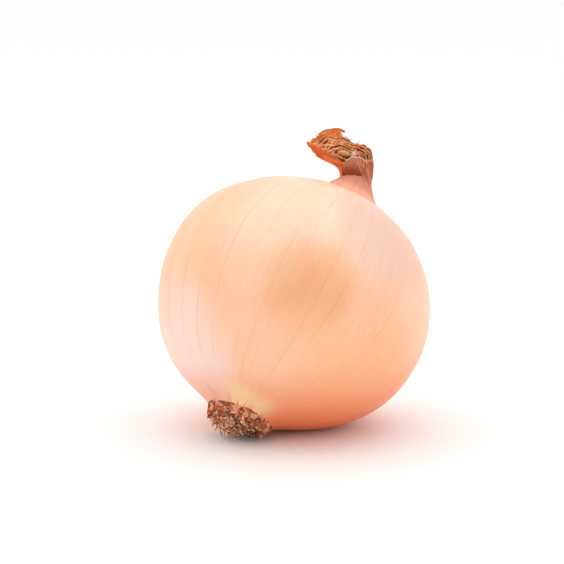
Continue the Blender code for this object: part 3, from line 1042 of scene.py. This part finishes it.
class Finish:
    """A material and the tools that build it."""

    def __init__(self, name, roughness):
        self.material = bpy.data.materials.new(name)
        self.material.use_nodes = True
        self.tree = self.material.node_tree
        self.shader = self.tree.nodes["Principled BSDF"]
        self.shader.inputs["Roughness"].default_value = roughness

    def node(self, kind, settings=None, inputs=None, output=0):
        """Adds any node: its settings first, then the numbers or links of its sockets."""
        made = self.tree.nodes.new(kind)
        for name, setting in (settings or {}).items():
            setattr(made, name, setting)
        for name, value in (inputs or {}).items():
            self.plug(made.inputs[name], value)
        return Value(self, made.outputs[output])

    def plug(self, socket, value):
        if isinstance(value, Value):
            self.tree.links.new(value.socket, socket)
        else:
            socket.default_value = value

    def set(self, name, value):
        self.plug(self.shader.inputs[name], value)

    def mix(self, share, first, second):
        """Blends two colours, from the first at share 0 to the second at share 1."""
        first, second = [v if isinstance(v, Value) else (*v, 1) for v in (first, second)]
        settings = {"data_type": "RGBA"}
        return self.node("ShaderNodeMix", settings, {0: share, 6: first, 7: second}, output=2)

    def noise(self, vector, scale, detail):
        inputs = {"Vector": vector, "Scale": scale, "Detail": detail}
        return self.node("ShaderNodeTexNoise", None, inputs)

    def vector_maths(self, operation, first, second=None, output=0):
        inputs = {0: first} if second is None else {0: first, 1: second}
        return self.node("ShaderNodeVectorMath", {"operation": operation}, inputs, output)

    def vector(self, x, y, z):
        return self.node("ShaderNodeCombineXYZ", None, {0: x, 1: y, 2: z})

    def split(self, vector):
        made = self.node("ShaderNodeSeparateXYZ", None, {0: vector})
        return [Value(self, socket) for socket in made.socket.node.outputs]

    def bump(self, height, distance, strength=1.0):
        inputs = {"Height": height, "Distance": distance, "Strength": strength}
        self.set("Normal", self.node("ShaderNodeBump", None, inputs))

    def dress(self, piece):
        piece.data.materials.clear()
        piece.data.materials.append(self.material)


# %% [markdown]
# ## The golden skin
# The pattern of an onion skin follows its veins, which run from root to neck. It could be painted on an
# unrolled map, but that has a seam and squeezed ends. Here Object coordinates are turned upright instead.
# The direction round the axis is then the same all along a vein, so noise on that direction gives lines
# that run the onion's length, and a little of the height lets them wander.

# %% Follow the veins
class SkinFinish(Finish):
    """A finish that knows its way along the onion, in millimetres, and round it."""

    def __init__(self, name, roughness):
        super().__init__(name, roughness)
        self.place = self.node("ShaderNodeTexCoord", output=3)
        self.upright = self.stood_up()
        x, y, self.height = self.split(self.upright)
        self.depth = -1 * self.height
        self.azimuth = self.node("ShaderNodeMath", {"operation": "ARCTAN2"}, {0: y, 1: x})
        heading = self.vector_maths("NORMALIZE", self.vector(x, y, 0.0))
        self.round_x, self.round_y, _ = self.split(heading)
        self.broad = self.noise(self.upright, 0.04, 2.0)
        self.mottle = self.along_veins(40.0, 0.35, 4.0)
        self.streaks = self.along_veins(17.0, 0.012)
        self.fringe = self.along_veins(26.0, 0.02)
        self.near_neck = self.height.step(29.0, 38.0)

    def stood_up(self):
        """The place on the piece in millimetres, turned so that Z runs along the onion's axis."""
        inputs = {"Vector": self.place, "Location": to_upright.translation, "Rotation": to_upright.to_euler()}
        turned = self.node("ShaderNodeMapping", {"vector_type": "POINT"}, inputs)
        return self.node("ShaderNodeVectorMath", {"operation": "SCALE"}, {0: turned, "Scale": 1 / MM})

    def along_veins(self, fineness, wander, detail=2.0):
        """Noise that is long from root to neck and narrow round the onion."""
        spot = self.vector(self.round_x * fineness, self.round_y * fineness, self.height * wander)
        return self.noise(spot, 1.0, detail)

    def vein_lines(self, number, width, sway):
        """Thin lines from root to neck, unevenly spaced, that sway and fade as they go."""
        swayed = self.azimuth * (number / ROUND) + (self.along_veins(3.0, 0.004) - 0.5) * sway
        line = 1 - abs(swayed.fraction() - 0.5).step(0.0, width)
        shown = self.along_veins(number / 5, 0.035).step(0.4, 0.6)
        return line * shown * (1 - self.depth.step(27.0, 34.0) * 0.8)


# %% [markdown]
# ## Broad washes of painted sheen, reflection and shade
# The washes are painted light and not the skin's own colour: a painted sheen over the top, painted highlights
# and pale reflections at the sides, a golden patch in front where the skin mirrors the darker side of the
# room, and painted shade of deeper orange at the left edge and low in front.
# Each wash is a soft patch round one direction as seen from the bulb's middle, and noise along the veins
# makes its edge ragged. A few patches placed one by one are easier to steer than one large noise.

# %% Place the patches of painted light
# Each has its azimuth, elevation and reach in degrees, then its strength and its colour.
# All of these patches paint light: sheen, highlights, reflections and shade.
PAINTED_LIGHT_PATCHES = (
    (-19, 56, 50, 0.50, (1.00, 0.72, 0.52)),
    (12, 36, 32, 0.68, (0.74, 0.43, 0.33)),
    (-106, -12, 38, 0.72, (0.93, 0.68, 0.61)),
    (-97, -30, 28, 0.45, (0.93, 0.66, 0.56)),
    (-138, 18, 46, 0.45, (1.00, 0.39, 0.13)),
    (-39, 17, 25, 0.80, (1.00, 0.40, 0.12)),
    (-62, 30, 22, 0.35, (1.00, 0.66, 0.42)),
    (-112, 45, 30, 0.35, (1.00, 0.56, 0.26)),
    (-5, -34, 44, 0.65, (1.00, 0.36, 0.07)),
    (24, -8, 26, 0.30, (0.96, 0.56, 0.40)),
)
RAGGED_SHARE = 0.9
FULL_SHARE = 0.15


def direction(azimuth, elevation):
    """Where a thing stands as seen from the onion, in degrees round from the front and up."""
    turn, rise = math.radians(azimuth), math.radians(elevation)
    return Vector((math.sin(turn) * math.cos(rise), -math.cos(turn) * math.cos(rise), math.sin(rise)))


def paint_light_patches(skin, colour, ragged):
    """Lays the soft patches of painted sheen, reflection and shade over a colour. Ragged is a noise that
    roughens their edges.
    """
    side = skin.vector_maths("NORMALIZE", skin.vector_maths("SUBTRACT", skin.place, middle))
    for azimuth, elevation, reach, strength, wash_colour in PAINTED_LIGHT_PATCHES:
        nearness = skin.vector_maths("DOT_PRODUCT", side, direction(azimuth, elevation), output=1)
        edge = math.cos(math.radians(reach))
        rough = nearness + (ragged - 0.5) * (1 - edge) * RAGGED_SHARE
        wash = rough.step(edge, 1 - (1 - edge) * FULL_SHARE)
        colour = skin.mix(wash * strength, colour, wash_colour)
    return colour


# %% [markdown]
# ## Coats of paint
# The skin's colour is built as a painter would: a golden ground with its washes of painted sheen, reflection
# and shade and its streaks, a painted shade of deeper orange low down near the table, then the veins, and
# last the two ends. Near the root there is a cream patch with an orange rim and short red marks, and the cone
# of the neck blushes and browns.

# %% Paint the ground
GOLDEN = (1.00, 0.47, 0.23)
PEACH = (1.00, 0.52, 0.29)
HONEY = (1.00, 0.45, 0.19)
STREAK = (0.82, 0.32, 0.11)
LOW_SHADE_ORANGE = (0.90, 0.16, 0.004)
FRECKLE = (0.96, 0.36, 0.17)
PALE_FLECK = (1.0, 0.74, 0.54)
SHADED_HEIGHTS = (3 * MM, 27 * MM)


def paint_ground(skin):
    colour = skin.mix(skin.broad.step(0.35, 0.65), GOLDEN, PEACH)
    colour = skin.mix(skin.along_veins(2.5, 0.02).step(0.35, 0.7) * 0.4, colour, HONEY)
    # Painted sheen, painted reflections and painted shade, in soft patches round the bulb.
    colour = paint_light_patches(skin, colour, skin.broad * 0.4 + skin.along_veins(5.0, 0.03) * 0.6)
    colour = skin.mix(skin.streaks.step(0.45, 0.85) * 0.2, colour, STREAK)
    _, _, above = skin.split(skin.place)
    # Painted shade: a deeper orange low down, near the table.
    colour = skin.mix((1 - above.step(*SHADED_HEIGHTS)) * 0.94, colour, LOW_SHADE_ORANGE)
    colour = skin.mix(skin.mottle.step(0.5, 0.75) * 0.22, colour, FRECKLE)
    return skin.mix((1 - skin.mottle.step(0.25, 0.45)) * 0.2, colour, PALE_FLECK)


# %% Paint the two ends
PATCH_AZIMUTH = math.radians(-127)
PATCH_RIM = (1.00, 0.36, 0.10)
CREAM = (0.98, 0.62, 0.27)
ROOT_MARK = (0.78, 0.20, 0.05)
NECK_BLUSH = (0.80, 0.25, 0.11)
NECK_BROWN = (0.54, 0.10, 0.03)


def paint_root_end(skin, colour):
    """The cream patch beside the root, with its zigzag rim, and marks all round the root."""
    patch_side = 1 - abs(skin.azimuth - PATCH_AZIMUTH).step(0.25, 0.85)
    zigzag = skin.depth + skin.fringe * 3.2 + patch_side * 1.2
    rim = (zigzag.step(34.6, 36.0) - zigzag.step(35.6, 37.0)) * patch_side
    colour = skin.mix(rim * 0.6, colour, PATCH_RIM)
    colour = skin.mix(zigzag.step(35.2, 37.8) * patch_side * 0.8, colour, CREAM)
    fine_lines = skin.along_veins(24.0, 0.01) + (skin.along_veins(6.0, 0.01) - 0.5) * 0.5
    marks = (skin.depth + skin.fringe * 4.0).step(37.4, 39.4) * fine_lines.step(0.5, 0.62)
    return skin.mix(marks * 0.8, colour, ROOT_MARK)


def paint_neck_end(skin, colour):
    """The blush on the neck's cone, in streaks, and the brown of its rim."""
    streaks = skin.along_veins(13.0, 0.01).step(0.42, 0.62)
    colour = skin.mix(skin.near_neck * (0.55 + streaks * 0.4), colour, NECK_BLUSH)
    rim = (skin.height + skin.fringe * 2.0).step(37.6, 42.0)
    return skin.mix(rim * 0.85, colour, NECK_BROWN)


# %% Put the skin's paint together
VEIN = (0.82, 0.27, 0.06)
FINE_VEIN = (0.80, 0.30, 0.09)
SKIN_BUMP = 0.12 * MM
SKIN_IOR = 1.8


def paint_skin():
    skin = SkinFinish("golden_skin_finish", 0.36)
    strong_veins = skin.vein_lines(29.0, 0.035, 2.6)
    fine_veins = skin.vein_lines(61.0, 0.08, 3.5)
    colour = skin.mix(strong_veins * 0.65, paint_ground(skin), VEIN)
    colour = skin.mix(fine_veins * 0.22, colour, FINE_VEIN)
    colour = paint_root_end(skin, colour)
    skin.set("Base Color", paint_neck_end(skin, colour))
    relief = strong_veins * 0.15 + fine_veins * 0.1 + skin.streaks * 0.25 + skin.mottle * 0.3
    skin.bump(relief, SKIN_BUMP, 0.5)
    skin.set("Roughness", 0.3 + skin.noise(skin.upright, 0.12, 3.0) * 0.1 + skin.near_neck * 0.3)
    skin.set("Specular IOR Level", 1.0)
    skin.set("IOR", SKIN_IOR)
    return skin


golden_skin = paint_skin()
golden_skin.dress(bulb_skin)
print("nodes in the skin's finish:", len(golden_skin.tree.nodes))

# %% [markdown]
# ## The dried leaf
# The sheaths are russet, with fibres along their length. Where they tore, the thin edge is pale, and light
# barely reaches the folds behind it. The leaves are bent too much for any straight pattern, so this finish
# reads the unrolled map that every piece has kept. It gives the way along the fibres and the distance from
# the torn edge, and each piece has its own page of it.

# %% Name the leaf's colours
RUSSET = (0.74, 0.125, 0.028)
BRIGHT_RUSSET = (0.97, 0.28, 0.07)
FAR_BROWN = (0.36, 0.085, 0.03)
CORE_TAN = (0.76, 0.28, 0.11)
FOLD_SHADE = (0.08, 0.010, 0.002)
TORN_EDGE = (1.0, 0.57, 0.27)
FIBRE_BROWN = (0.20, 0.045, 0.015)
PANEL_BROWN = (0.30, 0.045, 0.014)
PANEL_BLUSH = (0.74, 0.27, 0.14)
PANEL_EDGE = (0.86, 0.55, 0.38)
SHRED_SHADE = (0.40, 0.12, 0.04)
PAGE_COLOURS = {
    WISP_PAGE: (0.92, 0.26, 0.06),
    TIP_PAGES[0]: (0.82, 0.46, 0.20),
    TIP_PAGES[1]: (0.90, 0.66, 0.54),
    THREAD_PAGE: (0.74, 0.24, 0.08),
    STRIP_PAGE: (0.98, 0.46, 0.27),
}


# %% Paint the sheaths
def paint_sheaths(leaf, around, rise, blotches):
    """Russet in front, browner behind, tan at the core, and dark down in the folds."""
    colour = leaf.mix(blotches.step(0.3, 0.7), RUSSET, BRIGHT_RUSSET)
    far_side = around.step(0.30, 0.46) - around.step(0.72, 0.86)
    colour = leaf.mix(far_side * 0.8, colour, FAR_BROWN)
    colour = leaf.mix(around.step(PAGE * 5.0, PAGE * 8.0) * 0.35, colour, CORE_TAN)
    inner = around.step(PAGE - 1.0, PAGE - 0.5)
    return leaf.mix(inner * (1 - rise.step(0.94, 0.99)) * 0.97, colour, FOLD_SHADE)


def paint_torn_edge(leaf, colour, around, rise, blotches):
    pale = leaf.noise(leaf.vector(around * 16.0, 0.0, 8.0), 1.0, 2.0).step(0.4, 0.65)
    edge = (rise + blotches * 0.05 - 0.025).step(0.972, 0.996)
    return leaf.mix(edge * (0.4 + pale * 0.6), colour, TORN_EDGE)


# %% Paint the whole leaf bundle
def paint_leaf():
    leaf = Finish("dried_leaf_finish", 0.7)
    leaf.set("Specular IOR Level", 0.25)
    around, rise, _ = leaf.split(leaf.node("ShaderNodeUVMap", {"uv_map": "unrolled"}))
    fibres = leaf.noise(leaf.vector(around * 70.0, rise * 3.0, 0.0), 1.0, 3.0)
    blotches = leaf.noise(leaf.vector(around * 9.0, rise * 4.0, 3.0), 1.0, 2.0)
    panel = around.step(PANEL_PAGE - 1.0, PANEL_PAGE - 0.5)
    colour = leaf.mix(panel, paint_sheaths(leaf, around, rise, blotches), PANEL_BROWN)
    colour = leaf.mix(fibres.step(0.45, 0.7) * 0.55, colour, FIBRE_BROWN)
    colour = paint_torn_edge(leaf, colour, around, rise, blotches)
    colour = leaf.mix(panel * (rise + blotches * 0.5).step(0.35, 1.2) * 0.75, colour, PANEL_BLUSH)
    colour = leaf.mix(panel * (rise + blotches * 0.08).step(0.97, 1.0), colour, PANEL_EDGE)
    for page, page_colour in PAGE_COLOURS.items():
        shade = leaf.mix(fibres.step(0.4, 0.75) * 0.6, page_colour, SHRED_SHADE)
        colour = leaf.mix(around.step(page - 1.0, page - 0.5), colour, shade)
    leaf.set("Base Color", colour)
    leaf.bump(fibres, 0.2 * MM, 0.7)
    return leaf


dried_leaf = paint_leaf()
dried_leaf.dress(leaf_bundle)
print("nodes in the leaf's finish:", len(dried_leaf.tree.nodes))

# %% [markdown]
# ## The dried root
# Roots and the torn rings are matt and fibrous, tan where light catches them and brown between. All of them
# share one recipe of blotches, dark spots and grain, with colours of their own, and the dome is nearly
# black because little light gets in between the roots.

# %% Paint the roots
SPOT_BROWN = (0.10, 0.04, 0.03)
GRAIN_BROWN = (0.20, 0.08, 0.04)
ROOT_BUMP = 0.15 * MM
# Each has its piece, its name, its light and dark colour, and the strength and colour of its spots.
ROOT_FINISHES = (
    (rootlets, "dried_root_finish", (1.00, 0.62, 0.38), (0.64, 0.19, 0.08), 0.75, (0.08, 0.02, 0.01)),
    (rim_crumbs, "crumb_finish", (1.00, 0.54, 0.32), (0.72, 0.14, 0.04), 0.85, (0.20, 0.04, 0.02)),
    (root_plate, "torn_feet_finish", (0.62, 0.24, 0.12), (0.26, 0.06, 0.025), 0.6, SPOT_BROWN),
    (root_flakes, "flake_finish", (0.92, 0.48, 0.28), (0.62, 0.16, 0.06), 0.3, SPOT_BROWN),
    (root_dome, "dark_dome_finish", (0.08, 0.035, 0.02), (0.04, 0.015, 0.01), 0.3, SPOT_BROWN),
)


def paint_root(name, light, dark, spots, spot_colour):
    root = Finish(name, 0.85)
    place = root.node("ShaderNodeTexCoord", output=3)
    colour = root.mix(root.noise(place, 700.0, 2.0).step(0.42, 0.58), light, dark)
    dark_spots = root.noise(place, 480.0, 2.0).step(0.52, 0.62)
    colour = root.mix(dark_spots * spots, colour, spot_colour)
    grain = root.noise(place, 2600.0, 3.0)
    root.set("Base Color", root.mix(grain.step(0.5, 0.75) * 0.3, colour, GRAIN_BROWN))
    root.bump(grain, ROOT_BUMP, 0.8)
    return root


for piece, *recipe in ROOT_FINISHES:
    paint_root(*recipe).dress(piece)
    print(piece.name, "has its finish")

# %% [markdown]
# ## What stands for what
# Every new piece rides on the onion's one body and hides the imported node that it stands for.

# %% Tie the pieces to the imported model
for piece, node, slot in (
    (bulb_skin, "bulb", "golden_skin"),
    (leaf_bundle, "neck_leaves", "dried_leaf"),
    (root_plate, "root_tuft", "dried_root"),
    (root_dome, "root_tuft", "dried_root"),
    (root_flakes, "root_tuft", "dried_root"),
    (rootlets, "root_tuft", "dried_root"),
    (rim_crumbs, "root_tuft", "dried_root"),
):
    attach(piece, "root")
    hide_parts(node)

# %% [markdown]
# ## Floor and light
# The table is a plain pale sheet. The room is white all round and gives most of the light, as a
# photographer's tent does. Behind the camera it is a little darker, which is what the glossy skin mirrors
# towards us, so that its golden colour shows there. A large lamp overhead and two weak ones at the sides
# shape the bulb.

# %% Lay the floor
FLOOR_SIZE = 6
FLOOR_WHITE = (0.96, 0.96, 0.96, 1)

clear_selection()
bpy.ops.mesh.primitive_plane_add(size=FLOOR_SIZE)
floor = bpy.context.object
floor.name = "floor"
table = Finish("table_finish", 0.7)
table.set("Base Color", FLOOR_WHITE)
table.dress(floor)

# %% Hang the lamps
CAMERA_AZIMUTH = -46
CAMERA_ELEVATION = 11
# Each has degrees round from the camera, its elevation, distance and size in metres, and its watts.
LAMPS = {
    "key_lamp": (0, 98, 0.8, (1.3, 0.8), 1.4),
    "left_lamp": (-95, 48, 0.7, (0.4, 0.4), 0.15),
    "right_lamp": (100, 30, 0.7, (0.3, 0.5), 0.15),
}


def hang_lamp(name, side, elevation, distance, size, watts):
    """A rectangular lamp that faces the bulb's middle."""
    place = middle + direction(CAMERA_AZIMUTH + side, elevation) * distance
    clear_selection()
    bpy.ops.object.light_add(type="AREA", location=place)
    lamp = bpy.context.object
    lamp.name = name
    lamp.data.shape = "RECTANGLE"
    lamp.data.size, lamp.data.size_y = size
    lamp.data.energy = watts
    lamp.rotation_euler = (place - middle).to_track_quat("Z", "Y").to_euler()


for name, lamp_facts in LAMPS.items():
    hang_lamp(name, *lamp_facts)
    print("hung the", name)

# %% Fill the room with white light
ROOM_LIGHT = 1.08
DARK_SIDE_LIGHT = 0.55
DARK_SIDE_AZIMUTH = CAMERA_AZIMUTH + 6
DARK_SIDE_ELEVATION = 14
DARK_SIDE_REACH = math.radians(48)
DARK_SIDE_CORE = math.radians(14)


class Room(Finish):
    """The surroundings, which are built with the same tools as a finish."""

    def __init__(self, name):
        self.world = bpy.data.worlds.new(name)
        self.world.use_nodes = True
        self.tree = self.world.node_tree
        self.shader = self.tree.nodes["Background"]


def light_room():
    room = Room("white_room")
    dark_side = direction(DARK_SIDE_AZIMUTH, DARK_SIDE_ELEVATION)
    towards = room.vector_maths("DOT_PRODUCT", room.node("ShaderNodeTexCoord"), dark_side, output=1)
    dark = towards.step(math.cos(DARK_SIDE_REACH), math.cos(DARK_SIDE_CORE))
    room.set("Color", (1, 1, 1, 1))
    room.set("Strength", ROOM_LIGHT - dark * (ROOM_LIGHT - DARK_SIDE_LIGHT))
    bpy.context.scene.world = room.world


light_room()
bpy.context.scene.view_settings.view_transform = "Standard"

# %% [markdown]
# ## The camera
# The camera looks at the bulb's middle from the front left, a little from above, and shifts the picture so
# that the onion sits a little low and right of the middle. It stands 60 cm away, and its lens is worked out
# from how many pixels of the picture a millimetre of the onion should cover.

# %% Place the camera
CAMERA_DISTANCE = 0.6
PICTURE_SIZE = 564
PIXELS_PER_MM = 3.425
SENSOR = 36.0
SHIFT_RIGHT = 12
SHIFT_DOWN = 20


def place_camera():
    back = direction(CAMERA_AZIMUTH, CAMERA_ELEVATION)
    clear_selection()
    bpy.ops.object.camera_add(location=middle + back * CAMERA_DISTANCE)
    camera = bpy.context.object
    camera.rotation_euler = back.to_track_quat("Z", "Y").to_euler()
    view_width = PICTURE_SIZE / PIXELS_PER_MM * MM
    camera.data.sensor_width = SENSOR
    camera.data.lens = SENSOR * CAMERA_DISTANCE / view_width
    camera.data.shift_x = -SHIFT_RIGHT / PICTURE_SIZE
    camera.data.shift_y = SHIFT_DOWN / PICTURE_SIZE
    camera.data.clip_start = 0.01
    bpy.context.scene.camera = camera
    print("lens:", round(camera.data.lens, 1), "mm")


place_camera()
